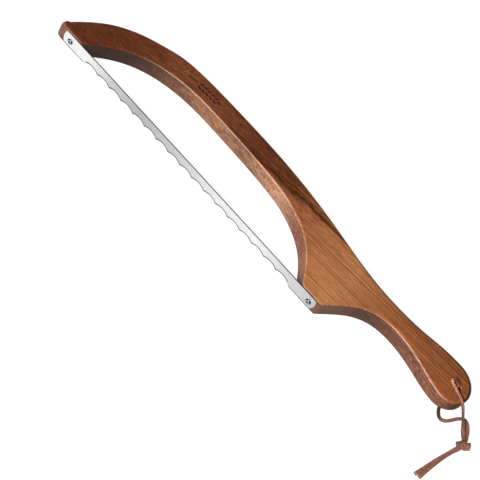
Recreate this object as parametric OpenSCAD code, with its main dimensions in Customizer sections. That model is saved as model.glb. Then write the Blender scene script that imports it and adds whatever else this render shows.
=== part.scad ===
// Fiddle-bow bread knife: a one-piece hardwood bow with its handle, a scalloped steel
// blade screwed flat to the bow's two feet, and a leather lace through the handle's end.
// The knife lies on its back face. X runs from the tip to the handle, Y from the blade
// to the arch, and Z up out of the board. All sizes are in millimetres.

/* [Bow] */
// Thickness of the board
board_t = 16; // [15.5:0.5:19]
// Rounding of the front edges that frame the blade
seat_r = 0.4; // [0.3:0.1:0.9]
// Rounding of the long edges of the arch
arch_r = 2; // [1:0.25:2.5]
// Rounding of the edge along the outer side of the grip
grip_r = 4.5; // [3:0.5:5]
// Rounding of the edge along the palm side of the grip
palm_r = 2; // [1:0.25:3]
// Least rounding of the edges round the back face
back_r = 2.4; // [1:0.1:2.4]
// How far before the handle's end its back starts to lift off the table
relief_run = 63; // [55:1:70]
// How far the back has lifted at the handle's end
relief_rise = 4; // [3.6:0.1:4.5]

/* [Blade] */
// Length of the blade
blade_len = 266.2; // [266:0.1:268]
// Width of the blade
blade_w = 12; // [11.5:0.1:12.5]
// Thickness of the blade
blade_t = 0.8; // [0.6:0.1:1.2]
// How far the blade's spine lies below the bow's front face
spine_set = 1.2; // [1:0.1:1.5]
// Distance from one tooth to the next
pitch = 12.7; // [12.7:0.1:12.8]
// Number of scallops
scallops = 17; // [9:1:17]
// Depth of a scallop
scallop_d = 2.2; // [1.5:0.1:3]
// How far the teeth stand back from the lower edge of the plain ends
teeth_set = 1.3; // [0.5:0.1:1.6]
// Width of the ground bevel
bevel_w = 1.1; // [0.6:0.1:1.5]
// Radius of the blade's two rounded ends
end_r = 11.5; // [9:0.5:14]

/* [Screws] */
// Distance between the two screws
screw_gap = 254; // [253:0.5:255]
// Diameter of a screw head
head_d = 5; // [4.5:0.1:5.5]
// Height of a screw head
head_h = 1.4; // [1:0.1:1.8]
// Diameter over the thread
thread_d = 2.9; // [2.6:0.1:3]
// Diameter of the core under the thread
core_d = 2.1; // [1.8:0.1:2.2]
// Length under the head
screw_len = 12.7; // [10:0.1:16]
// Thread pitch
thread_p = 1.1; // [1:0.1:1.3]

/* [Lace] */
// Diameter of the lanyard hole
hole_d = 6.4; // [6:0.1:7]
// Thickness of the lace
lace_t = 2.2; // [1.8:0.1:2.4]

/* [Hidden] */

// The outline is laid out with X = 0 at the tip's foot and Y = 0 on the bow's two feet.
// Corners of the outline, anticlockwise from the tip's foot. Each is
// [x, y, direction, pull before, pull after, edge rounding, lean]: the curve passes through
// x, y in that direction, and a longer pull keeps it near that direction for longer. The
// lean turns the way in which the rounding steps inward, where it is larger than the corner.
neck_r = (arch_r + grip_r) / 2;
foot_r = 1;
end_edge_r = 3;
nose_r = 6;
brow_r = 3;
OUTLINE = [
    [-8, 0, 0, 3.4, 4, seat_r, 0],
    [6.7, 0, 0, 4, 1.3, seat_r, 0],
    [10.2, 1.4, 43, 1.3, 17, foot_r, 0],
    [105, 46.2, 0, 70, 66, arch_r, 0],
    [196, 40, -17, 12, 30, arch_r, 0],
    [242.6, 2, -55, 16, 1.4, foot_r, 0],
    [246, 0, 0, 1.4, 3, seat_r, 0],
    [261.6, 0, 0, 3, 1.1, seat_r, 0],
    [264.4, 1.3, 53, 1.1, 22, foot_r, 0],
    [313, 33.4, 0, 27, 20, palm_r, 0],
    [362, 23.8, -8, 15, 9, palm_r, 0],
    [381, 39, 90, 12, 11, end_edge_r, 0],
    [361, 57.8, 180, 10, 27, grip_r, 0],
    [292, 51.1, 180, 38, 44, neck_r, 0],
    [141, 65.6, 180, 80, 68, arch_r, 0],
    [49, 57.7, 203, 14, 11.2, arch_r, 0],
    [7.2, 32.7, 225.3, 22.3, 9.5, brow_r, 0],
    [-12.4, 5.4, 242, 13.2, 4.2, nose_r, 36],
];
STEP_LEN = 6;      // longest straight piece of the outline
ARC_STEPS = 3;     // straight pieces in a rounded edge

function point(n) = [n[0], n[1]];
function heading(n) = [cos(n[2]), sin(n[2])];
function steps(a, b) = max(4, ceil(norm(point(b) - point(a)) / STEP_LEN));
function bend(p, t) = (1 - t) ^ 3 * p[0] + 3 * (1 - t) ^ 2 * t * p[1]
    + 3 * (1 - t) * t ^ 2 * p[2] + t ^ 3 * p[3];
function bend_way(p, t) = (1 - t) ^ 2 * (p[1] - p[0])
    + 2 * (1 - t) * t * (p[2] - p[1]) + t ^ 2 * (p[3] - p[2]);
function pulls(a, b) = [point(a), point(a) + a[4] * heading(a),
                        point(b) - b[3] * heading(b), point(b)];
function inward(v, lean) = [-v[1] * cos(lean) - v[0] * sin(lean),
                            v[0] * cos(lean) - v[1] * sin(lean)] / norm(v);

// Every point of the outline as [point, way inward, edge rounding]
EDGE = [for (k = [0:len(OUTLINE) - 1])
    let (a = OUTLINE[k], b = OUTLINE[(k + 1) % len(OUTLINE)], p = pulls(a, b), n = steps(a, b))
    for (i = [0:n - 1]) let (t = i / n, q = a + (b - a) * t)
        [bend(p, t), inward(bend_way(p, t), q[6]), q[5]]];

// Number of the point at which outline corner k lies
function first_point(k) = k == 0 ? 0 : first_point(k - 1) + steps(OUTLINE[k - 1], OUTLINE[k]);
HANDLE_END = first_point(11);

// Cross-section of the rounded rim, from the back face to the front, as
// [share of the rounding stepped inward, share lost from the height, is at the front]
RIM = [for (front = [0, 1]) for (i = [0:ARC_STEPS])
    let (a = 90 * (front == 1 ? ARC_STEPS - i : i) / ARC_STEPS) [1 - sin(a), 1 - cos(a), front]];

// The knife's middle, which is the part's origin
EDGE_X = [for (e = EDGE) e[0][0]];
EDGE_Y = [for (e = EDGE) e[0][1]];
MID_X = (min(EDGE_X) + max(EDGE_X)) / 2;
MID_Y = (max(EDGE_Y) - blade_t - head_h) / 2;
END_X = max(EDGE_X);

spine_z = board_t - spine_set;
blade_z = spine_z - blade_w;
screw_x = 0.9;                              // place of the tip screw along the blade
screw_z = spine_z - 6.6;
blade_mid = 127.25;                         // the blade's middle
blade_x = blade_mid - blade_len / 2;
teeth_x = 127 - scallops * pitch / 2;
end_peak = 5;                               // the ends reach furthest this far below the spine
end_cut = 4;                                // more than what rounding an end takes off
teeth_z = blade_z + teeth_set;
tooth_flat = 0.6;                           // width left at the point of each tooth
half_chord = (pitch - tooth_flat) / 2;
scallop_r = (half_chord ^ 2 + scallop_d ^ 2) / (2 * scallop_d);
bevel_depth = 0.75 * blade_t;               // the rest is the land behind the edge
screw_hole_d = 3.2;
pilot_d = core_d + 0.1;
pilot_len = screw_len - blade_t + 1;
relief_curve_r = relief_run ^ 2 / (2 * relief_rise);
hole_at = [369.6, 39.2];
hole_ease = 0.8;                            // chamfer around both mouths of the hole
recess_w = 0.7;                             // width of a screw's cross recess
recess_d = 0.8;                             // depth of a screw's cross recess
mark_at = [88, 54.6];
mark_tilt = 4;
mark_depth = 0.4;
grain_len = 4.6;                            // one grain of the wheat-ear mark
grain_w = 1.8;
grain_pairs = 5;
grain_step = 3.8;
stem_w = 0.8;
$fn = 64;

// Routes of the lace. Both start in the middle of the hole and end in the knot.
OVER_ROUTE = [[370.2, 39.4, 8], [370.3, 39.5, 11], [370.2, 39.7, 13.8], [369.4, 40.2, 16],
    [367.8, 40.9, 17.4], [365.8, 41.4, 18], [364, 40.9, 18.2], [363.3, 39.5, 18.1],
    [364.3, 38.2, 17.9], [366.9, 37.2, 17.6], [369.8, 36.2, 17.4], [373, 35.1, 17.3],
    [376.3, 33.9, 17.2], [379.4, 32.9, 16.4], [382, 32.4, 14.4], [384.2, 32.5, 11.4],
    [386.2, 32.7, 8.4], [388.4, 32.3, 5.8], [390.8, 30.9, 4], [393.3, 28.8, 2.9],
    [395.6, 26.4, 2.4], [397.8, 23.8, 2.5], [399.7, 21.2, 3]];
UNDER_ROUTE = [[370.2, 39.4, 8], [370.2, 39.1, 5.6], [370.2, 38.1, 3.2], [370.2, 36, 1.5],
    [370.2, 33, 1.2], [370.5, 30, 1.2], [371.3, 27, 1.2], [372.9, 24, 1.2], [374.8, 21.9, 1.2],
    [376.9, 20.8, 1.2], [379.2, 21.2, 1.2], [381.2, 23, 1.2], [383.1, 26, 1.2],
    [385.2, 30.2, 1.2], [387.4, 34, 1.2], [390, 36, 1.2], [392.9, 35.5, 1.2],
    [395.5, 33, 1.2], [397.7, 29.7, 1.3], [399.4, 26.3, 1.6], [400.8, 22.8, 2.4]];
LONG_TAIL_ROUTE = [[400, 14, 2.6], [399.1, 10.2, 2.4], [398.2, 6.6, 2.1], [397.2, 2, 1.7],
    [396.2, -2.6, 1.4], [395.2, -7.4, 1.2], [394.4, -12.4, 1.2], [393.6, -17.6, 1.2],
    [392.8, -22.7, 1.2], [391.9, -27.6, 1.2]];
SHORT_TAIL_ROUTE = [[401.4, 14.6, 1.8], [400.2, 10, 1.2], [399.3, 6.2, 1.2], [398.4, 1.4, 1.2],
    [397.6, -3.8, 1.2], [396.9, -9.2, 1.2], [396.3, -14.6, 1.2], [395.8, -20.4, 1.2],
    [395.4, -27, 1.2]];
LACE_SIDES = 8;
KNOT_AT = [401.9, 17.6, 3.7];

// One ring of the tube around route point i, square to the route there
function ahead(r, i) = r[min(i + 1, len(r) - 1)] - r[max(i - 1, 0)];
function side_of(w) = let (s = [w[1], -w[0], 0]) norm(s) > 0.02 * norm(w) ? s / norm(s) : [1, 0, 0];
function tube_ring(r, i, rad) = let (w = ahead(r, i) / norm(ahead(r, i)), s = side_of(w),
        u = cross(s, w)) [for (k = [0:LACE_SIDES - 1]) let (a = 360 * (k + 0.5) / LACE_SIDES)
        r[i] + rad * (cos(a) * s + sin(a) * u)];

module placed() translate([-MID_X, -MID_Y, 0]) children();

// A tube swept along a route
module tube(route) {
    n = len(route);
    m = LACE_SIDES;
    pts = [for (i = [0:n - 1]) each tube_ring(route, i, lace_t / 2)];
    sides = [for (i = [0:n - 2]) for (k = [0:m - 1]) let (a = i * m + k, b = i * m + (k + 1) % m)
        each [[a, b, b + m], [a, b + m, a + m]]];
    polyhedron(pts, concat(sides, [[for (k = [m - 1:-1:0]) k], [for (k = [0:m - 1]) (n - 1) * m + k]]));
}

// Triangles of a flat face between the outline's lower and upper sides, as point numbers.
// Both sides start at the tip's nose and meet at the handle's end. The lower side leads a
// little, so that no triangle crosses the hollow that the rounding leaves above the nose.
LOWER_LEAD = 2;
NOSE = first_point(len(OUTLINE) - 1);
LOWER = [for (i = [NOSE:len(EDGE) + HANDLE_END]) i % len(EDGE)];
UPPER = [for (i = [NOSE:-1:HANDLE_END]) i];
function behind(i, j) = j == len(UPPER) - 1
    || (i < len(LOWER) - 1 && EDGE_X[LOWER[i + 1]] <= EDGE_X[UPPER[j + 1]] + LOWER_LEAD);
FACE = [for (i = 1, j = 0; i + j < len(EDGE) - 1; low = behind(i, j), i = low ? i + 1 : i,
             j = low ? j : j + 1)
    behind(i, j) ? [LOWER[i], LOWER[i + 1], UPPER[j]] : [LOWER[i], UPPER[j + 1], UPPER[j]]];

// The whole board with its rounded edges, before anything is drilled in it
module rounded_board() {
    n = len(EDGE);
    m = len(RIM);
    pts = [for (q = RIM) for (e = EDGE) let (r = q[2] == 1 ? e[2] : max(e[2], back_r),
        p = e[0] + e[1] * r * q[0], z = r * q[1]) [p[0], p[1], q[2] == 1 ? board_t - z : z]];
    rim = [for (j = [0:m - 2]) for (i = [0:n - 1]) let (a = j * n + i, b = j * n + (i + 1) % n)
        each [[a, b + n, b], [a, a + n, b + n]]];
    front = [for (f = FACE) [for (k = [2:-1:0]) (m - 1) * n + f[k]]];
    polyhedron(pts, concat(rim, FACE, front));
}

// What is cut from the handle's back, so that it lifts off the table and the lace can pass
module back_relief() {
    difference() {
        translate([END_X - relief_run, -5, -5]) cube([relief_run + 10, 80, 5 + relief_rise + 2]);
        translate([END_X - relief_run, -6, relief_curve_r]) rotate([-90, 0, 0])
            cylinder(r = relief_curve_r, h = 82, $fn = 720);
    }
}

// Hole for the lace, eased at the front and at the relieved back
module lace_hole() {
    translate([hole_at[0], hole_at[1], -1]) cylinder(d = hole_d, h = board_t + 2);
    translate([hole_at[0], hole_at[1], board_t - hole_ease])
        cylinder(d1 = hole_d, d2 = hole_d + 2 * hole_ease + 0.2, h = hole_ease + 0.1);
}

// A generic ear of wheat, burnt into the arch: a stem with grains on both sides
module grain() {
    grain_r = (grain_len ^ 2 + grain_w ^ 2) / (4 * grain_w);
    intersection() {
        translate([grain_len / 2, grain_r - grain_w / 2]) circle(r = grain_r);
        translate([grain_len / 2, grain_w / 2 - grain_r]) circle(r = grain_r);
    }
}

module wheat_ear() {
    translate([-16, -stem_w / 2]) square([9, stem_w]);
    for (i = [0:grain_pairs - 1]) for (s = [-1, 1])
        translate([-6 + grain_step * i, 0.75 * s]) rotate(28 * s) grain();
    translate([12.2, 0]) grain();
}

// One-piece bow: arch, two feet, throat and handle
module wooden_bow() placed() color([0.55, 0.31, 0.17]) difference() {
    rounded_board();
    back_relief();
    lace_hole();
    for (i = [0, 1]) translate([screw_x + i * screw_gap, 0, screw_z]) rotate([-90, 0, 0])
        translate([0, 0, -1]) cylinder(d = pilot_d, h = pilot_len + 1, $fn = 32);
    translate([mark_at[0], mark_at[1], board_t - mark_depth]) rotate(mark_tilt)
        linear_extrude(mark_depth + 1) wheat_ear();
}

// Cuts that the teeth leave: one round scallop with its bevel, seen along Y
module scallop() {
    rotate([-90, 0, 0]) translate([0, 0, -1]) cylinder(r = scallop_r, h = blade_t + 2);
    rotate([-90, 0, 0]) cylinder(r1 = scallop_r + bevel_w, r2 = scallop_r, h = bevel_depth);
}

// What is cut away to round one end of the blade
module end_rounding() {
    difference() {
        translate([-1, -1, -1]) cube([end_cut + 1, blade_t + 2, blade_w + 2]);
        translate([end_r, -2, blade_w - end_peak]) rotate([-90, 0, 0])
            cylinder(r = end_r, h = blade_t + 4);
    }
}

// Scalloped blade: a flat strip against the bow's feet, teeth towards the back face
module serrated_blade() placed() color([0.86, 0.87, 0.88]) translate([0, -blade_t, 0]) difference() {
    translate([blade_x, 0, blade_z]) cube([blade_len, blade_t, blade_w]);
    translate([blade_x, 0, blade_z]) end_rounding();
    translate([blade_x + blade_len, 0, blade_z]) mirror([1, 0, 0]) end_rounding();
    translate([teeth_x, -1, blade_z - 1]) cube([scallops * pitch, blade_t + 2, teeth_set + 1]);
    for (i = [0:scallops - 1])
        translate([teeth_x + (i + 0.5) * pitch, 0, teeth_z + scallop_d - scallop_r]) scallop();
    for (i = [0, 1]) translate([screw_x + i * screw_gap, -1, screw_z]) rotate([-90, 0, 0])
        cylinder(d = screw_hole_d, h = blade_t + 2, $fn = 32);
}

// Round-headed wood screw with a cross recess, pointing along +Y, head at Y = 0
module wood_screw() {
    rings = floor((screw_len - 3) / thread_p);
    dome_r = ((head_d / 2) ^ 2 + head_h ^ 2) / (2 * head_h);
    difference() {
        union() {
            rotate([-90, 0, 0]) cylinder(d = core_d, h = screw_len - 2.5, $fn = 32);
            translate([0, screw_len - 2.5, 0]) rotate([-90, 0, 0])
                cylinder(d1 = core_d, d2 = 0.3, h = 2.5, $fn = 32);
            for (i = [1:rings]) translate([0, screw_len - 2.4 - i * thread_p, 0]) rotate([-90, 0, 0]) {
                cylinder(d1 = core_d, d2 = thread_d, h = 0.35, $fn = 32);
                translate([0, 0, 0.35]) cylinder(d1 = thread_d, d2 = core_d, h = 0.35, $fn = 32);
            }
            intersection() {
                translate([0, dome_r - head_h, 0]) rotate([90, 0, 0]) sphere(r = dome_r);
                rotate([90, 0, 0]) cylinder(d = head_d, h = head_h + 1);
            }
        }
        for (turn = [0, 90]) rotate([0, turn, 0])
            translate([-head_d / 4, -head_h - 1, -recess_w / 2])
                cube([head_d / 2, recess_d + 1, recess_w]);
    }
}

// Screw that holds the blade at the bow's tip
module tip_screw() placed() color([0.7, 0.7, 0.72]) translate([screw_x, -blade_t, screw_z])
    rotate([0, 20, 0]) wood_screw();

// Screw that holds the blade at the throat
module heel_screw() placed() color([0.7, 0.7, 0.72])
    translate([screw_x + screw_gap, -blade_t, screw_z]) rotate([0, 65, 0]) wood_screw();

// Lace from the hole over the handle's end to the knot
module lace_over() placed() color([0.62, 0.4, 0.32]) tube(OVER_ROUTE);

// Lace from the hole under the handle's relieved back to the knot
module lace_under() placed() color([0.62, 0.4, 0.32]) tube(UNDER_ROUTE);

// Overhand knot tied with both strands: three turns of the lace round a core
module lace_knot() placed() color([0.6, 0.38, 0.3]) translate(KNOT_AT) rotate([0, 0, -41]) {
    for (i = [-1:1]) translate([0, i * 2.8, 0]) rotate([90, 0, 8 * i])
        rotate_extrude($fn = 48) translate([2.4 - 0.3 * abs(i), 0]) circle(d = lace_t + 0.2, $fn = 24);
    rotate([90, 0, 0]) cylinder(d = 4.2, h = 10, center = true, $fn = 32);
}

// The tail of the lace that reaches a little further
module lace_long_tail() placed() color([0.62, 0.4, 0.32]) tube(LONG_TAIL_ROUTE);

// The tail beside it
module lace_short_tail() placed() color([0.62, 0.4, 0.32]) tube(SHORT_TAIL_ROUTE);

wooden_bow();
serrated_blade();
tip_screw();
heel_screw();
lace_over();
lace_under();
lace_knot();
lace_long_tail();
lace_short_tail();
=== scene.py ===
import math

import bpy
import bmesh
from mathutils import Matrix, Vector
from mathutils.geometry import delaunay_2d_cdt


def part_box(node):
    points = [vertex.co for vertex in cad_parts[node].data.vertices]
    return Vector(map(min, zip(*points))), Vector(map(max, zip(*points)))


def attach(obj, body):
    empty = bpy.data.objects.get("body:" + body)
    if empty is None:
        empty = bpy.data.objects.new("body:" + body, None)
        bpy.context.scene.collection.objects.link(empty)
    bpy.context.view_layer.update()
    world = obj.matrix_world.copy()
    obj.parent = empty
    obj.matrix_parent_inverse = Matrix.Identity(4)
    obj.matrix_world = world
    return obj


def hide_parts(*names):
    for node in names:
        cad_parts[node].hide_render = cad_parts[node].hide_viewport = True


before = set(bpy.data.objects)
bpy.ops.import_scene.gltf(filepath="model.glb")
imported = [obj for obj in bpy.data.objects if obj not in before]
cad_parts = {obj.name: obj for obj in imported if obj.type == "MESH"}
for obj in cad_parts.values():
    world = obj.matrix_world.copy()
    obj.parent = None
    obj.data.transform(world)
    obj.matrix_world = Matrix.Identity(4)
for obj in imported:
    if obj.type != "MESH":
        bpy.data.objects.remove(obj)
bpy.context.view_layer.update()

MM = 0.001

# ---------------------------------------------------------------- outline of the bow, in mm
# The same corners as the CAD's: x, y, direction, pull before, pull after, edge rounding, lean.
BOARD_T = 16.0
SEAT_R, FOOT_R, ARCH_R, BROW_R, NOSE_R = 0.4, 1.0, 2.0, 3.0, 6.0
PALM_R, END_EDGE_R, GRIP_R = 2.0, 3.0, 4.5
BACK_R = 2.4                     # least rounding round the back face
NECK_R = (ARCH_R + GRIP_R) / 2
OUTLINE = [
    (-8, 0, 0, 3.4, 4, SEAT_R, 0),
    (6.7, 0, 0, 4, 1.3, SEAT_R, 0),
    (10.2, 1.4, 43, 1.3, 17, FOOT_R, 0),
    (105, 46.2, 0, 70, 66, ARCH_R, 0),
    (196, 40, -17, 12, 30, ARCH_R, 0),
    (242.6, 2, -55, 16, 1.4, FOOT_R, 0),
    (246, 0, 0, 1.4, 3, SEAT_R, 0),
    (261.6, 0, 0, 3, 1.1, SEAT_R, 0),
    (264.4, 1.3, 53, 1.1, 22, FOOT_R, 0),
    (313, 33.4, 0, 27, 20, PALM_R, 0),
    (362, 23.8, -8, 15, 9, PALM_R, 0),
    (381, 39, 90, 12, 11, END_EDGE_R, 0),
    (361, 57.8, 180, 10, 27, GRIP_R, 0),
    (292, 51.1, 180, 38, 44, NECK_R, 0),
    (141, 65.6, 180, 80, 68, ARCH_R, 0),
    (49, 57.7, 203, 14, 11.2, ARCH_R, 0),
    (7.2, 32.7, 225.3, 22.3, 9.5, BROW_R, 0),
    (-12.4, 5.4, 242, 13.2, 4.2, NOSE_R, 36),
]


def outline_points(step):
    """(point, way inward, rounding) along the closed outline, in mm."""
    out = []
    for k, a in enumerate(OUTLINE):
        b = OUTLINE[(k + 1) % len(OUTLINE)]
        pa, pb = Vector(a[:2]), Vector(b[:2])
        ha = Vector((math.cos(math.radians(a[2])), math.sin(math.radians(a[2]))))
        hb = Vector((math.cos(math.radians(b[2])), math.sin(math.radians(b[2]))))
        p = [pa, pa + a[4] * ha, pb - b[3] * hb, pb]
        n = max(5, math.ceil((pb - pa).length / step))
        for i in range(n):
            t = i / n
            s = 1 - t
            pt = s ** 3 * p[0] + 3 * s * s * t * p[1] + 3 * s * t * t * p[2] + t ** 3 * p[3]
            d = s * s * (p[1] - p[0]) + 2 * s * t * (p[2] - p[1]) + t * t * (p[3] - p[2])
            d.normalize()
            lean = Matrix.Rotation(math.radians(a[6] + (b[6] - a[6]) * t), 2)
            out.append((pt, lean @ Vector((-d.y, d.x)), a[5] + (b[5] - a[5]) * t))
    return out


OUTLINE_STEP = 2.4               # mm between the outline's points
EDGE = outline_points(OUTLINE_STEP)
bow_lo, bow_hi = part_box("wooden_bow")
# from the outline's frame, in mm, to the row frame, in metres
SHIFT = Vector((bow_lo.x / MM - min(e[0].x for e in EDGE),
                bow_lo.y / MM - min(e[0].y for e in EDGE), 0.0))


def row(p):
    """Row-frame metres of a point given in the outline's frame, in mm."""
    return Vector((p[0] + SHIFT.x, p[1] + SHIFT.y, p[2] if len(p) > 2 else 0.0)) * MM


# ---------------------------------------------------------------- camera
AZ, EL, ROLL = math.radians(11.042), math.radians(52.662), math.radians(38.748)
AIM, DISTANCE, LENS = (189.616, -2.232, 0.0), 1.1, 116.15    # mm, metres, mm
away = Vector((math.sin(AZ) * math.cos(EL), -math.cos(AZ) * math.cos(EL), math.sin(EL)))
level = Vector((math.cos(AZ), math.sin(AZ), 0.0))
above = away.cross(level)
right = level * math.cos(ROLL) + above * math.sin(ROLL)
up = above * math.cos(ROLL) - level * math.sin(ROLL)
cam_data = bpy.data.cameras.new("camera")
cam_data.sensor_width = 36.0
cam_data.lens = LENS
cam_data.clip_end = 20.0
cam = bpy.data.objects.new("camera", cam_data)
bpy.context.scene.collection.objects.link(cam)
cam_at = row(AIM) + away * DISTANCE
cam.matrix_world = Matrix((
    (right.x, up.x, away.x, cam_at.x),
    (right.y, up.y, away.y, cam_at.y),
    (right.z, up.z, away.z, cam_at.z),
    (0.0, 0.0, 0.0, 1.0)))
bpy.context.scene.camera = cam


# ---------------------------------------------------------------- small helpers
def new_object(name, data):
    ob = bpy.data.objects.new(name, data)
    bpy.context.scene.collection.objects.link(ob)
    return ob


class Shader:
    """A material, and short calls for the shader nodes that the materials here share."""

    def __init__(self, name):
        self.mat = bpy.data.materials.new(name)
        self.mat.use_nodes = True
        self.tree = self.mat.node_tree
        self.bsdf = self.tree.nodes["Principled BSDF"]

    def node(self, kind, **settings):
        n = self.tree.nodes.new(kind)
        for key, value in settings.items():
            setattr(n, key, value)
        return n

    def put(self, socket, value):
        """Link a value that is an output, and set any other."""
        if isinstance(value, bpy.types.NodeSocket):
            self.tree.links.new(value, socket)
        else:
            socket.default_value = value

    def surface(self, **values):
        for name, value in values.items():
            self.put(self.bsdf.inputs[name.replace("_", " ")], value)

    def bump(self, height, strength, distance):
        n = self.node("ShaderNodeBump")
        self.put(n.inputs["Strength"], strength)
        self.put(n.inputs["Distance"], distance)
        self.put(n.inputs["Height"], height)
        self.surface(Normal=n.outputs["Normal"])

    def place(self):
        return self.node("ShaderNodeTexCoord").outputs["Object"]

    def split(self, vector):
        n = self.node("ShaderNodeSeparateXYZ")
        self.put(n.inputs["Vector"], vector)
        return n.outputs

    def mapped(self, vector, **values):
        n = self.node("ShaderNodeMapping")
        self.put(n.inputs["Vector"], vector)
        for name, value in values.items():
            self.put(n.inputs[name], value)
        return n.outputs["Vector"]

    def maths(self, kind, *values):
        n = self.node("ShaderNodeMath", operation=kind)
        for socket, value in zip(n.inputs, values):
            self.put(socket, value)
        return n.outputs["Value"]

    def span(self, value, low, high, first=0.0, last=1.0):
        """The value carried from low..high onto first..last, and held at the ends."""
        n = self.node("ShaderNodeMapRange")
        for name, end in (("Value", value), ("From Min", low), ("From Max", high),
                          ("To Min", first), ("To Max", last)):
            self.put(n.inputs[name], end)
        return n.outputs["Result"]

    def noise(self, vector, scale=1.0, detail=2.0, rough=0.5, distort=0.0):
        n = self.node("ShaderNodeTexNoise")
        for name, value in (("Vector", vector), ("Scale", scale), ("Detail", detail),
                            ("Roughness", rough), ("Distortion", distort)):
            self.put(n.inputs[name], value)
        return n.outputs["Fac"]

    def ramp(self, fac, *stops):
        n = self.node("ShaderNodeValToRGB")
        els = n.color_ramp.elements
        while len(els) < len(stops):
            els.new(0.5)
        for el, (position, colour) in zip(els, stops):
            el.position = position
            el.color = colour
        self.put(n.inputs["Fac"], fac)
        return n.outputs["Color"]

    def mix(self, kind, fac, a, b):
        n = self.node("ShaderNodeMix", data_type="RGBA", blend_type=kind)
        for socket, value in ((n.inputs[0], fac), (n.inputs[6], a), (n.inputs[7], b)):
            self.put(socket, value)
        return n.outputs[2]

    def times(self, fac, a, b):
        return self.mix("MULTIPLY", fac, a, b)


def grey(v, warm=0.0):
    return (v, v * (1 - warm), v * (1 - 2 * warm), 1)


def srgb(r, g, b):
    """Linear colour of an 8-bit screen colour."""
    def one(c):
        c /= 255.0
        return c / 12.92 if c <= 0.04045 else ((c + 0.055) / 1.055) ** 2.4
    return (one(r), one(g), one(b), 1.0)


# ---------------------------------------------------------------- lace
LACE_W, LACE_T = 2.6, 1.7
OVER_ROUTE = [
    (370.2, 39.4, 8), (370.3, 39.5, 11), (370.2, 39.7, 13.8), (369.4, 40.2, 16),
    (367.8, 40.9, 17.4), (365.8, 41.4, 18), (364, 40.9, 18.2), (363.3, 39.5, 18.1),
    (364.3, 38.2, 17.9), (366.9, 37.2, 17.6), (369.8, 36.2, 17.4), (373, 35.1, 17.3),
    (376.3, 33.9, 17.2), (379.4, 32.9, 16.4), (382, 32.4, 14.4), (384.2, 32.5, 11.4),
    (386.2, 32.7, 8.4), (388.4, 32.3, 5.8), (390.8, 30.9, 4), (393.3, 28.8, 2.9),
    (395.6, 26.4, 2.4), (397.8, 23.8, 2.5), (399.7, 21.2, 3)]
UNDER_ROUTE = [
    (370.2, 39.4, 8), (370.2, 39.1, 5.6), (370.2, 38.1, 3.2), (370.2, 36, 1.5), (370.2, 33, 1.2),
    (370.5, 30, 1.2), (371.3, 27, 1.2), (372.9, 24, 1.2), (374.8, 21.9, 1.2), (376.9, 20.8, 1.2),
    (379.2, 21.2, 1.2), (381.2, 23, 1.2), (383.1, 26, 1.2), (385.2, 30.2, 1.2), (387.4, 34, 1.2),
    (390, 36, 1.2), (392.9, 35.5, 1.2), (395.5, 33, 1.2), (397.7, 29.7, 1.3), (399.4, 26.3, 1.6),
    (400.8, 22.8, 2.4)]
LONG_TAIL_ROUTE = [
    (400, 14, 2.6), (399.1, 10.2, 2.4), (398.2, 6.6, 2.1), (397.2, 2, 1.7), (396.2, -2.6, 1.4),
    (395.2, -7.4, 1.2), (394.4, -12.4, 1.2), (393.6, -17.6, 1.2), (392.8, -22.7, 1.2),
    (391.9, -27.6, 1.2)]
SHORT_TAIL_ROUTE = [
    (401.4, 14.6, 1.8), (400.2, 10, 1.2), (399.3, 6.2, 1.2), (398.4, 1.4, 1.2),
    (397.6, -3.8, 1.2), (396.9, -9.2, 1.2), (396.3, -14.6, 1.2), (395.8, -20.4, 1.2),
    (395.4, -27, 1.2)]
# Which way the flat side faces at some of the route's points, from the first to the last
OVER_FACING = {0: (1, 0.2, 0), 3: (0.9, -0.2, 0.3), 5: (0.5, 0.6, 0.6), 6: (-0.7, 0.6, 0.5),
               7: (-0.9, -0.2, 0.5), 9: (0.2, -0.3, 0.9), 12: (0.1, -0.1, 1), 15: (0.7, 0, 0.7),
               17: (0.6, 0.3, 0.7), 20: (0, 0, 1), 23: (0.2, 0, 1), 25: (0, 0, 1), 32: (0, 0, 1)}
UNDER_FACING = {0: (-1, 0, 0), 2: (-0.6, 0.9, 0.1), 4: (0, 0.3, 1), 8: (-0.2, -0.2, 1),
                10: (0.1, -0.2, 1), 13: (0, 0, 1), 29: (0, 0, 1)}


def smooth_route(points, parts):
    """Catmull-Rom points through a route."""
    pts = [Vector(p) for p in points]
    ext = [2 * pts[0] - pts[1]] + pts + [2 * pts[-1] - pts[-2]]
    out = []
    for i in range(1, len(ext) - 2):
        a, b, c, d = ext[i - 1:i + 3]
        for k in range(parts):
            t = k / parts
            out.append(0.5 * (2 * b + (c - a) * t + (2 * a - 5 * b + 4 * c - d) * t * t
                              + (3 * b - a - 3 * c + d) * t ** 3))
    out.append(pts[-1])
    return out


def facings(keys, count, parts):
    """The flat side's direction at each of a smoothed route's points."""
    at = sorted(keys)
    out = []
    for i in range(count):
        s = i / parts
        hi = next((k for k in at if k >= s), at[-1])
        lo = max((k for k in at if k <= s), default=at[0])
        t = 0.0 if hi == lo else (s - lo) / (hi - lo)
        t = t * t * (3 - 2 * t)
        out.append(Vector(keys[lo]).normalized().lerp(Vector(keys[hi]).normalized(), t).normalized())
    return out


def strip_section(w, t, sides=16):
    """Rounded outline of the lace's section: (across, through), in mm."""
    out = []
    for k in range(sides):
        a = 2 * math.pi * k / sides
        c, s = math.cos(a), math.sin(a)
        out.append((w / 2 * math.copysign(abs(c) ** 0.6, c), t / 2 * math.copysign(abs(s) ** 0.6, s)))
    return out


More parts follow.
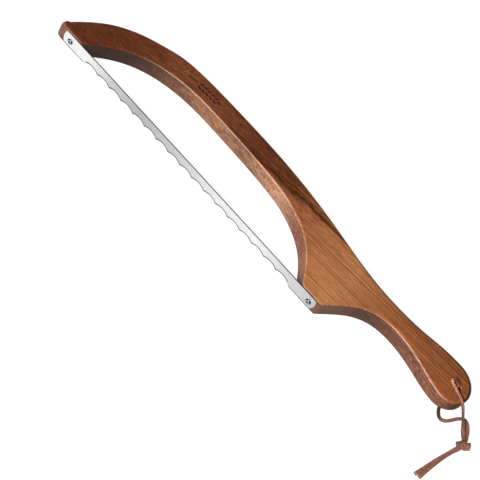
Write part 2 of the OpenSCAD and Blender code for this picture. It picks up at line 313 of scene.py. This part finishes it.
def sweep(points, normals, section, taper=None):
    """A bmesh tube along points, with the section's second axis along the normals."""
    bm = bmesh.new()
    rim = bm.verts.layers.float.new("rim")
    rings = []
    wide = max(u for u, v in section)
    n = len(points)
    for i, p in enumerate(points):
        d = (points[min(i + 1, n - 1)] - points[max(i - 1, 0)]).normalized()
        through = (normals[i] - d * normals[i].dot(d)).normalized()
        across = d.cross(through)
        k = 1.0 if taper is None else taper(i / (n - 1))
        ring = []
        for u, v in section:
            ring.append(bm.verts.new(row(p + across * (u * k) + through * (v * k))))
            ring[-1][rim] = abs(u) / wide
        rings.append(ring)
    m = len(section)
    for r0, r1 in zip(rings, rings[1:]):
        for k in range(m):
            bm.faces.new((r0[k], r0[(k + 1) % m], r1[(k + 1) % m], r1[k]))
    bm.faces.new(rings[0][::-1])
    bm.faces.new(rings[-1])
    bmesh.ops.recalc_face_normals(bm, faces=bm.faces)
    return bm


def finish_mesh(bm, name):
    mesh = bpy.data.meshes.new(name)
    bm.to_mesh(mesh)
    bm.free()
    mesh.shade_smooth()
    return new_object(name, mesh)


LACE_PARTS = 4


def lace_strand(name, routes, facing):
    """One strand and its tail: spread above the knot, pinched below it, wider at the end."""
    points = smooth_route(sum(routes, []), LACE_PARTS)
    normals = facings(facing, len(points), LACE_PARTS)
    n = len(points) - 1
    knot_at = LACE_PARTS * len(routes[0]) / n
    spread = ((0, 1), (knot_at - 0.2, 1), (knot_at - 0.1, 1.3), (knot_at - 0.02, 1.1),
              (knot_at + 0.05, 0.85), (knot_at + 0.15, 0.9), (1, 1.2))

    def width(t):
        for (t0, w0), (t1, w1) in zip(spread, spread[1:]):
            if t <= t1:
                return w0 + (w1 - w0) * (t - t0) / (t1 - t0)
        return spread[-1][1]

    bm = sweep(points, normals, strip_section(LACE_W, LACE_T), width)
    ob = finish_mesh(bm, name)
    length = sum((b - a).length for a, b in zip(points, points[1:])) * MM
    return ob, [row(p) for p in points], length


over, over_path, over_len = lace_strand("lace_strand_over", [OVER_ROUTE, LONG_TAIL_ROUTE],
                                        OVER_FACING)
under, under_path, under_len = lace_strand("lace_strand_under", [UNDER_ROUTE, SHORT_TAIL_ROUTE],
                                           UNDER_FACING)

# The knot: turns of the lace round both strands, the last of them leaning the other way
KNOT = Vector((401.9, 17.6, 3.7))
KNOT_AXIS = Vector((0.66, 0.755, 0.0)).normalized()
KNOT_SIDE = KNOT_AXIS.cross(Vector((0, 0, 1))).normalized()
KNOT_UP = KNOT_SIDE.cross(KNOT_AXIS)
KNOT_STRIP = (2.3, 1.7)          # the lace's width and thickness where it is tied
# Each turn's place along the axis, its radius, and how far and which way it lies askew
KNOT_TURNS = ((-2.9, 2.1, 1.5, 0.2), (-0.3, 2.7, 1.8, 0.3), (2.1, 2.5, 1.7, 0.4), (4.2, 1.7, 0.6, 2.6))


def knot_turn(shift, radius, tilt, swing):
    """Points and outward normals of one closed turn round the knot's axis."""
    pts, nrm = [], []
    count = 40
    for i in range(count + 1):
        a = 2 * math.pi * i / count
        out = KNOT_SIDE * math.cos(a) + KNOT_UP * math.sin(a)
        along = shift + tilt * math.cos(a + swing)
        pts.append(KNOT + out * radius + KNOT_AXIS * along)
        nrm.append(out)
    return pts, nrm


knot_bm = bmesh.new()
for knot_row in KNOT_TURNS:
    pts, nrm = knot_turn(*knot_row)
    part = sweep(pts, nrm, strip_section(*KNOT_STRIP))
    tmp = bpy.data.meshes.new("tmp")
    part.to_mesh(tmp)
    part.free()
    knot_bm.from_mesh(tmp)
    bpy.data.meshes.remove(tmp)
knot = finish_mesh(knot_bm, "lace_knot_turns")

for ob in (over, under, knot):
    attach(ob, "root")
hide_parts("lace_over", "lace_long_tail")
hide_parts("lace_under", "lace_short_tail")
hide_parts("lace_knot")

# ---------------------------------------------------------------- the bow
RELIEF_RUN, RELIEF_RISE = 63.0, 4.0
END_X = max(e[0].x for e in EDGE)
HOLE = Vector((369.6, 39.2))
HOLE_R, HOLE_EASE = 3.2, 0.8
HOLE_SIDES, EASE_STEPS = 40, 4
ARC = 8                          # straight pieces in a rounded edge


def relief(x):
    """How far the handle's back is lifted off the table, in mm."""
    over_by = x - (END_X - RELIEF_RUN)
    r = RELIEF_RUN ** 2 / (2 * RELIEF_RISE)
    return 0.0 if over_by <= 0 else r - math.sqrt(r * r - over_by * over_by)


def lens(at, turn, length, width, count=7):
    """A pointed grain, as a closed loop."""
    r = (length ** 2 + width ** 2) / (4 * width)
    half = math.asin(length / 2 / r)
    pts = []
    for side in (-1, 1):
        for i in range(count):
            a = -half + 2 * half * i / count
            x = length / 2 + r * math.sin(a)
            y = r * math.cos(a) - (r - width / 2)
            pts.append(Vector((x, -y)) if side < 0 else Vector((length - x, y)))
    rot = Matrix.Rotation(math.radians(turn), 2)
    return [at + rot @ p for p in pts]


MARK_AT, MARK_DEPTH, MARK_TILT = Vector((88, 54.6)), 0.4, math.radians(4)
# Along the mark from its middle: the stem's ends, the first pair of grains and the last grain
STEM_FROM, STEM_TO, PAIRS_FROM, LAST_GRAIN = -16, -7, -6, 12.2
STEM_W, GRAIN_LEN, GRAIN_W = 0.8, 4.6, 1.8
GRAIN_PAIRS, GRAIN_STEP, GRAIN_OUT, GRAIN_SPLAY = 5, 3.8, 0.75, 28


def mark_loops():
    """A generic ear of wheat: a stem with grains on both sides."""
    half = STEM_W / 2
    stem = ((STEM_FROM, -half), (STEM_TO, -half), (STEM_TO, half), (STEM_FROM, half))
    loops = [[Vector(p) for p in stem]]
    for i in range(GRAIN_PAIRS):
        for s in (-1, 1):
            at = Vector((PAIRS_FROM + GRAIN_STEP * i, GRAIN_OUT * s))
            loops.append(lens(at, GRAIN_SPLAY * s, GRAIN_LEN, GRAIN_W))
    loops.append(lens(Vector((LAST_GRAIN, 0)), 0, GRAIN_LEN, GRAIN_W))
    rot = Matrix.Rotation(MARK_TILT, 2)
    return [[MARK_AT + rot @ p for p in loop] for loop in loops]


def inside(p, poly):
    """Whether a point lies within a closed loop."""
    hit = False
    j = len(poly) - 1
    for i in range(len(poly)):
        a, b = poly[i], poly[j]
        if (a.y > p.y) != (b.y > p.y) and p.x < (b.x - a.x) * (p.y - a.y) / (b.y - a.y) + a.x:
            hit = not hit
        j = i
    return hit


def middle_y(x):
    """Half way between the outline's lower and upper side."""
    near = [e[0].y for e in EDGE if abs(e[0].x - x) < 4]
    return 0.5 * (min(near) + max(near))


def bow_vert(bm, x, y, z):
    """A vertex of the board, lifted off the table where the handle's back is relieved."""
    lift = relief(x)
    return bm.verts.new(row((x, y, lift + z * (BOARD_T - lift) / BOARD_T)))


def rim_rings(bm):
    """Rings of vertices round the board, from the back face over both rounded edges."""
    rings = []
    for front in (0, 1):
        for i in range(ARC + 1):
            a = math.pi / 2 * (ARC - i if front else i) / ARC
            ring = []
            for p, inward, r in EDGE:
                r = r if front else max(r, BACK_R)
                q = p + inward * r * (1 - math.sin(a))
                z = r * (1 - math.cos(a))
                ring.append(bow_vert(bm, q.x, q.y, BOARD_T - z if front else z))
            rings.append(ring)
    return rings


def hole_rings(bm):
    """Rings of vertices down the lace's hole, with an eased rim at both mouths."""
    profile = []
    for k in range(EASE_STEPS, -1, -1):
        a = math.pi / 2 * k / EASE_STEPS
        profile.append((HOLE_R + HOLE_EASE * (1 - math.cos(a)), HOLE_EASE * (1 - math.sin(a))))
    depths = profile + [(r, BOARD_T - z) for r, z in profile[::-1]]
    rings = []
    for r, z in depths:
        ring = []
        for k in range(HOLE_SIDES):
            a = 2 * math.pi * k / HOLE_SIDES
            ring.append(bow_vert(bm, HOLE.x + r * math.cos(a), HOLE.y + r * math.sin(a), z))
        rings.append(ring)
    return rings


def join_rings(bm, rings):
    """Quads from each ring of vertices to the next."""
    for r0, r1 in zip(rings, rings[1:]):
        for i in range(len(r0)):
            j = (i + 1) % len(r0)
            bm.faces.new((r0[i], r0[j], r1[j], r1[i]))


def cap(bm, outer, holes, z, extra=()):
    """Triangles between an outer ring of vertices and the rings inside it."""
    coords, verts, edges, polys = [], [], [], []
    for ring in [outer] + holes:
        base = len(coords)
        polys.append([Vector((v.co.x / MM, v.co.y / MM)) for v in ring])
        coords += polys[-1]
        verts += ring
        edges += [(base + i, base + (i + 1) % len(ring)) for i in range(len(ring))]
    coords += [Vector((p[0] + SHIFT.x, p[1] + SHIFT.y)) for p in extra]
    verts += [bow_vert(bm, p[0], p[1], z) for p in extra]
    out, _, faces, orig, _, _ = delaunay_2d_cdt(coords, edges, [], 0, 1e-6)
    for f in faces:
        c = sum((out[i] for i in f), Vector((0, 0))) / len(f)
        if inside(c, polys[0]) and not any(inside(c, hole) for hole in polys[1:]):
            bm.faces.new([verts[orig[i][0]] for i in f])


def sunk_mark(bm):
    """The burnt mark's walls and floors. Returns the rings that the front face leaves open."""
    rings = []
    for loop in mark_loops():
        top = [bow_vert(bm, p.x, p.y, BOARD_T) for p in loop]
        floor = [bow_vert(bm, p.x, p.y, BOARD_T - MARK_DEPTH) for p in loop]
        for i in range(len(loop)):
            j = (i + 1) % len(loop)
            wall = bm.faces.new((top[i], top[j], floor[j], floor[i]))
            wall.material_index = 1
        bm.faces.new(floor).material_index = 1
        rings.append(top)
    return rings


def build_bow():
    bm = bmesh.new()
    rims = rim_rings(bm)
    join_rings(bm, rims)
    hole = hole_rings(bm)
    join_rings(bm, hole)
    mark = sunk_mark(bm)
    # points along the handle's back, so that its curve isn't spanned by long triangles
    spine = [(x, middle_y(x)) for x in range(320, 366, 4) if abs(x - HOLE.x) > 8]
    cap(bm, rims[0], [hole[0]], 0.0, spine)
    cap(bm, rims[-1], [hole[-1]] + mark, BOARD_T)
    bmesh.ops.recalc_face_normals(bm, faces=bm.faces)
    return bm


bow = finish_mesh(build_bow(), "bow_body")
bow.data.set_sharp_from_angle(angle=math.radians(32))
weights = bow.modifiers.new("weights", "WEIGHTED_NORMAL")
weights.keep_sharp = True
weights.weight = 80
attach(bow, "root")
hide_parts("wooden_bow")


# ---------------------------------------------------------------- materials
blade_lo, blade_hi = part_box("serrated_blade")
screw_lo, screw_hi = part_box("tip_screw")
# The blade's scallops, in mm, as in the CAD
PITCH, SCALLOPS, SCALLOP_D, TEETH_X, TEETH_Z, TOOTH_FLAT = 12.7, 17, 2.2, 19.05, 4.1, 0.6
HALF_CHORD = (PITCH - TOOTH_FLAT) / 2
SCALLOP_R = (HALF_CHORD ** 2 + SCALLOP_D ** 2) / (2 * SCALLOP_D)
# Tones of the wood from the tip to the handle's end, on the front face and on the sides; the sides' tones
# hold painted shade too, darkest on the inner arch near the tip
FRONT_TONES = ((0.0, srgb(96, 50, 30)), (0.12, srgb(98, 52, 31)), (0.2, srgb(114, 65, 42)),
               (0.4, srgb(106, 58, 36)), (0.52, srgb(132, 80, 52)), (0.62, srgb(164, 106, 66)),
               (0.7, srgb(168, 112, 72)), (0.78, srgb(150, 92, 56)), (1.0, srgb(140, 82, 48)))
SIDE_TONES_AND_SHADE = ((0.0, srgb(94, 63, 45)), (0.04, srgb(94, 63, 45)), (0.07, srgb(44, 24, 16)),
              (0.12, srgb(42, 24, 17)), (0.16, srgb(62, 36, 26)), (0.27, srgb(109, 75, 56)),
              (0.36, srgb(128, 93, 70)), (0.44, srgb(132, 96, 75)), (0.5, srgb(142, 105, 83)),
              (0.57, srgb(104, 62, 42)), (0.62, srgb(121, 77, 57)), (0.7, srgb(94, 62, 48)),
              (0.75, srgb(58, 34, 26)), (0.81, srgb(84, 51, 39)), (1.0, srgb(106, 66, 48)))
GRAIN_TURN = math.radians(3.8)   # the grain's slope to the blade
# The heartwood band: its slope, a point on its lower side, and its reach across from there
BAND_SLOPE, BAND_AT, BAND_LOW, BAND_HIGH, BAND_WANDER = math.radians(4.9), (174, 51), -3, 15, 11
OUTER_WAY = (0.6, 0.8, 0.0)      # towards the outer side of throat, handle and arch, where the eased edges get painted shade


def wood_tones(sh, x, is_front):
    """Tones along the bow, with the front face's apart from those of the sides, which hold painted shade."""
    along = sh.span(x, bow_lo.x, bow_hi.x)
    front = sh.ramp(along, *FRONT_TONES)
    # the sides' tones, with painted shade where they face away from the light
    side_tone_and_shade = sh.ramp(along, *SIDE_TONES_AND_SHADE)
    return sh.mix("MIX", is_front, side_tone_and_shade, front)


def heartwood(sh, base, place, x, stretched):
    """A dark band that runs along the arch and out of its outer side."""
    low_side = Matrix.Rotation(-BAND_SLOPE, 2) @ row(BAND_AT).to_2d()
    across = sh.split(sh.mapped(place, Rotation=(0.0, 0.0, -BAND_SLOPE)))["Y"]
    wander = sh.noise(stretched(42, 105, 105, 5.3), detail=4.0, rough=0.6)
    drift = sh.maths("MULTIPLY_ADD", wander, BAND_WANDER * MM, across)
    band = sh.ramp(sh.span(drift, low_side.y + BAND_LOW * MM, low_side.y + BAND_HIGH * MM),
                   (0.0, grey(1.0)), (0.26, grey(0.88, 0.04)), (0.37, grey(0.28, 0.12)),
                   (0.47, grey(0.34, 0.12)), (0.53, grey(0.8, 0.06)), (0.61, grey(0.38, 0.1)),
                   (0.69, grey(0.9, 0.05)), (0.82, grey(0.45, 0.1)), (1.0, grey(0.6, 0.08)))
    fade_in = sh.span(x, row((105, 0)).x, row((165, 0)).x)
    fade_out = sh.span(x, row((310, 0)).x, row((270, 0)).x)
    return sh.times(sh.maths("MULTIPLY", fade_in, fade_out), base, band)


def figure(sh, base, x, is_front, stretched):
    """The grain: blotchy in the arch, and straight in the throat and the handle."""
    broad = sh.noise(stretched(4.5, 60, 60), detail=3.0, distort=0.5)
    base = sh.times(0.6, base, sh.ramp(broad, (0.3, grey(0.7, 0.05)), (0.5, grey(0.98, 0.01)),
                                       (0.7, grey(1.28, 0.01))))
    from_x, to_x = row((180, 0)).x, row((260, 0)).x
    mottle = sh.noise(stretched(120, 230, 230, 8.7), detail=5.0, rough=0.65, distort=1.2)
    base = sh.times(sh.span(x, from_x, to_x, 0.85, 0.3), base,
                    sh.ramp(mottle, (0.32, grey(0.6, 0.06)), (0.5, grey(1.0)), (0.68, grey(1.45, 0.03))))
    speckle = sh.noise(stretched(420, 900, 620, 2.9), detail=4.0, rough=0.7, distort=0.3)
    base = sh.times(sh.maths("SUBTRACT", 1.0, is_front), base,
                    sh.ramp(speckle, (0.34, grey(0.66, 0.05)), (0.5, grey(1.0)), (0.68, grey(1.4, 0.02))))
    lines = sh.noise(stretched(9, 950, 950, 3.1), detail=4.0, rough=0.65, distort=0.25)
    base = sh.times(sh.span(x, from_x, to_x, 0.5, 1.0), base,
                    sh.ramp(lines, (0.34, grey(0.5, 0.08)), (0.5, grey(1.0)), (0.66, grey(1.42, -0.01))))
    pores = sh.noise(stretched(160, 1700, 1700, 1.7), detail=4.0, rough=0.65, distort=0.1)
    base = sh.times(0.7, base, sh.ramp(pores, (0.34, grey(0.55, 0.06)), (0.5, grey(1.0)), (0.68, grey(1.2))))
    return base, pores


def painted_edge_shade_and_highlight(sh, base, normal, facing, x):
    """Painted light on the eased edges: painted shade on the outer side and at the grip's end, and a painted
    highlight on the blade's side.
    """
    dot = sh.node("ShaderNodeVectorMath", operation="DOT_PRODUCT")
    sh.put(dot.inputs[0], normal)
    sh.put(dot.inputs[1], OUTER_WAY)
    outer = dot.outputs["Value"]
    # painted shade on the eased edges turned to the outer side
    painted_outer_shade = sh.ramp(sh.span(outer, 0.06, 0.3), (0.0, grey(1.0)), (1.0, grey(0.14, 0.06)))
    base = sh.times(sh.span(facing["Z"], 0.0, 0.25), base, painted_outer_shade)
    # painted highlight on the eased edges on the blade's side
    eased = sh.ramp(facing["Z"], (0.3, grey(0.0)), (0.5, grey(1.0)), (0.86, grey(1.0)), (0.95, grey(0.0)))
    painted_edge_highlight = sh.maths("MULTIPLY", eased, sh.span(outer, -0.05, -0.3))
    base = sh.times(painted_edge_highlight, base, (1.45, 1.5, 1.62, 1))
    # painted shade on the grip's end and on its underside
    turned = sh.maths("MAXIMUM", sh.span(facing["X"], 0.35, 0.75), sh.span(facing["Z"], 0.1, -0.4))
    end = sh.ramp(turned, (0.0, grey(1.0)), (1.0, grey(0.14, 0.06)))
    return sh.times(sh.span(x, row((362, 0)).x, row((374, 0)).x), base, end)


def wood_material(name, burnt=False):
    """Oiled hardwood, smooth on the face and its eased edges, and left matter on the sides."""
    sh = Shader(name)
    place = sh.place()
    turned = sh.mapped(place, Rotation=(0.0, 0.0, -GRAIN_TURN))

    def stretched(x, y, z, shift=0.0):
        return sh.mapped(turned, Scale=(x, y, z), Location=(shift, shift, shift))

    x = sh.split(place)["X"]
    normal = sh.node("ShaderNodeNewGeometry").outputs["Normal"]
    facing = sh.split(normal)
    flat = sh.maths("ABSOLUTE", facing["Z"])
    is_front = sh.span(flat, 0.45, 0.9)
    base = wood_tones(sh, x, is_front)
    base = heartwood(sh, base, place, x, stretched)
    base, pores = figure(sh, base, x, is_front, stretched)
    base = painted_edge_shade_and_highlight(sh, base, normal, facing, x)
    if burnt:
        base = sh.times(1.0, base, (0.1, 0.09, 0.09, 1))
    rubbed = sh.span(flat, 0.05, 0.4)
    sh.surface(Base_Color=base,
               Specular_IOR_Level=sh.span(rubbed, 0.0, 1.0, 0.2, 0.7 if burnt else 0.5),
               Roughness=sh.span(rubbed, 0.0, 1.0, 0.58, 0.7 if burnt else 0.34),
               Specular_Tint=(1.0, 0.82, 0.7, 1))
    sh.bump(pores, 0.1, 0.0003)
    return sh.mat


# Painted reflection on the blade from the tip to the heel: the tone of the room that each part of it mirrors
BLADE_REFLECTION_TONES = ((0.0, 0.72), (0.12, 0.67), (0.19, 0.48), (0.3, 0.38), (0.45, 0.49), (0.62, 0.68),
               (0.76, 0.72), (0.9, 0.55), (1.0, 0.46))
# The painted dark reflection lines: where each fades out and where it is full, in mm past the
# scallops' rim and above the lower edge
TOOTH_LINE, LOW_LINE = (2.2, 1.6), (1.1, 0.7)


def blade_material():
    """Ground steel, satin, with painted reflection: its tone along the blade, and dark lines on the ground
    edges, the lower edge and the spine.
    """
    sh = Shader("blade_steel")
    place = sh.place()
    at = sh.split(place)

    # how far a point lies from the centre of its scallop's circle, in metres
    turns = sh.maths("MULTIPLY_ADD", at["X"], 1 / (PITCH * MM), -row((TEETH_X, 0)).x / (PITCH * MM))
    side = sh.maths("MULTIPLY", sh.maths("SUBTRACT", sh.maths("FRACT", turns), 0.5), PITCH * MM)
    rise = sh.maths("SUBTRACT", at["Z"], (TEETH_Z + SCALLOP_D - SCALLOP_R) * MM)
    reach = sh.maths("SQRT", sh.maths("ADD", sh.maths("MULTIPLY", side, side),
                                      sh.maths("MULTIPLY", rise, rise)))
    in_teeth = sh.maths("MULTIPLY", sh.maths("GREATER_THAN", turns, 0.0),
                        sh.maths("LESS_THAN", turns, float(SCALLOPS)))
    ground = sh.maths("MULTIPLY", in_teeth,
                      sh.span(reach, *((SCALLOP_R + past) * MM for past in TOOTH_LINE)))
    low_edge = sh.span(at["Z"], *(blade_lo.z + height * MM for height in LOW_LINE))
    spine = sh.span(at["Z"], blade_hi.z - 0.3 * MM, blade_hi.z - 0.1 * MM, 0.0, 0.2)
    # painted dark reflection along the ground edges, the lower edge and the spine
    painted_dark_lines = sh.maths("MINIMUM", sh.maths("ADD", sh.maths("ADD", ground, low_edge), spine), 1.0)

    # painted reflection: the tone of the room that each part of the blade mirrors
    painted_reflection = sh.ramp(sh.span(at["X"], blade_lo.x, blade_hi.x),
                   *((position, (v, v, v * 1.01, 1)) for position, v in BLADE_REFLECTION_TONES))
    lines = sh.noise(sh.mapped(place, Scale=(900, 900, 40)), detail=4.0)
    face = sh.times(1.0, painted_reflection, sh.span(lines, 0.0, 1.0, 0.9, 1.08))
    sh.surface(Base_Color=sh.mix("MIX", painted_dark_lines, face, (0.1, 0.1, 0.105, 1)), Metallic=1.0, Roughness=0.32)
    sh.bump(lines, 0.05, 0.0001)
    return sh.mat


def screw_material():
    """Bright steel on the head's crown, with painted shade in the recess and round the head's rim."""
    sh = Shader("screw_steel")
    place = sh.place()
    # painted shade in the recess and round the head's rim, by depth
    painted_recess_shade = sh.span(sh.split(place)["Y"], screw_lo.y + 0.3 * MM, screw_lo.y + 0.65 * MM)
    crown = sh.ramp(sh.noise(place, 2500.0), (0.0, (0.34, 0.34, 0.35, 1)), (1.0, (0.46, 0.46, 0.47, 1)))
    sh.surface(Base_Color=sh.mix("MIX", painted_recess_shade, crown, (0.05, 0.05, 0.055, 1)), Metallic=1.0, Roughness=0.3)
    return sh.mat


def lace_material():
    """Suede: lighter on its flat sides, dark along its cut edges."""
    sh = Shader("lace_leather")
    place = sh.place()
    at = sh.split(place)
    plain = (1, 1, 1, 1)
    nap = sh.noise(place, 1400.0, 5.0, 0.7)
    base = sh.ramp(nap, (0.32, srgb(96, 58, 46)), (0.68, srgb(158, 104, 80)))
    patches = sh.noise(place, 260.0, 2.0, 0.7)
    base = sh.times(1.0, base, sh.ramp(patches, (0.35, (0.72, 0.68, 0.68, 1)), (0.65, (1.15, 1.1, 1.05, 1))))
    # painted light: paler the higher it lies over the grip, and painted shade where it comes out from under
    # it
    height = sh.span(at["Z"], 0.0, 20 * MM)
    base = sh.times(1.0, base, sh.ramp(height, (0.3, plain), (0.9, (1.75, 1.62, 1.5, 1))))
    out_by = sh.span(at["X"], row((360, 0)).x, row((400, 0)).x)
    # painted shade where the lace comes out from under the grip
    painted_under_shade = sh.ramp(out_by, (0.38, (0.16, 0.13, 0.12, 1)), (0.5, plain))
    base = sh.times(1.0, base, sh.mix("MIX", sh.maths("LESS_THAN", at["Z"], 5 * MM), plain, painted_under_shade))
    rim = sh.node("ShaderNodeAttribute", attribute_name="rim").outputs["Fac"]
    base = sh.times(1.0, base, sh.ramp(rim, (0.7, (1.12, 1.1, 1.08, 1)), (0.96, (0.22, 0.17, 0.16, 1))))
    sh.surface(Base_Color=base, Roughness=0.85, Sheen_Weight=0.15)
    sh.bump(nap, 0.5, 0.0003)
    return sh.mat


def floor_material():
    """Pale paint that glows, so that the shadows on it stay faint."""
    sh = Shader("floor_paint")
    sh.surface(Base_Color=(0.25, 0.25, 0.25, 1), Roughness=0.9, Specular_IOR_Level=0.1,
               Emission_Color=(1, 1, 1, 1), Emission_Strength=0.94)
    return sh.mat


def give(ob, mat):
    if ob.material_slots:
        for s in ob.material_slots:
            s.material = mat
    else:
        ob.data.materials.append(mat)


leather = lace_material()
screw_steel = screw_material()
bow.data.materials.append(wood_material("bow_wood"))
bow.data.materials.append(wood_material("burnt_mark", burnt=True))
give(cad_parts["serrated_blade"], blade_material())
for screw in ("tip_screw", "heel_screw"):
    give(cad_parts[screw], screw_steel)
for ob in (over, under, knot):
    give(ob, leather)

# ---------------------------------------------------------------- floor and light
FLOOR_HALF = 3.0                 # metres
corners = [(x * FLOOR_HALF, y * FLOOR_HALF, 0) for x, y in ((-1, -1), (1, -1), (1, 1), (-1, 1))]
floor_mesh = bpy.data.meshes.new("floor")
floor_mesh.from_pydata(corners, [], [(0, 1, 2, 3)])
floor = new_object("floor", floor_mesh)
give(floor, floor_material())

scene = bpy.context.scene
scene.view_settings.view_transform = "Standard"


def studio_world(front, back):
    """A soft room: bright on the blade's side, dark behind the arch."""
    world = bpy.data.worlds.new("studio")
    scene.world = world
    world.use_nodes = True
    nodes, link = world.node_tree.nodes, world.node_tree.links.new
    coord = nodes.new("ShaderNodeTexCoord")
    split = nodes.new("ShaderNodeSeparateXYZ")
    link(coord.outputs["Generated"], split.inputs["Vector"])
    fade = nodes.new("ShaderNodeMapRange")
    fade.interpolation_type = "SMOOTHSTEP"
    for name, value in (("From Min", -0.35), ("From Max", 0.3), ("To Min", front), ("To Max", back)):
        fade.inputs[name].default_value = value
    link(split.outputs["Y"], fade.inputs["Value"])
    link(fade.outputs["Result"], nodes["Background"].inputs["Strength"])


studio_world(2.4, 0.35)


def area_light(name, at, aim, size_x, size_y, power):
    data = bpy.data.lights.new(name, "AREA")
    data.shape = "RECTANGLE"
    data.size = size_x
    data.size_y = size_y
    data.energy = power
    ob = new_object(name, data)
    ob.location = at
    ob.rotation_euler = (Vector(aim) - Vector(at)).to_track_quat("-Z", "Y").to_euler()


area_light("key", (-0.25, -2.0, 1.5), (0, 0, 0), 1.6, 1.0, 115)
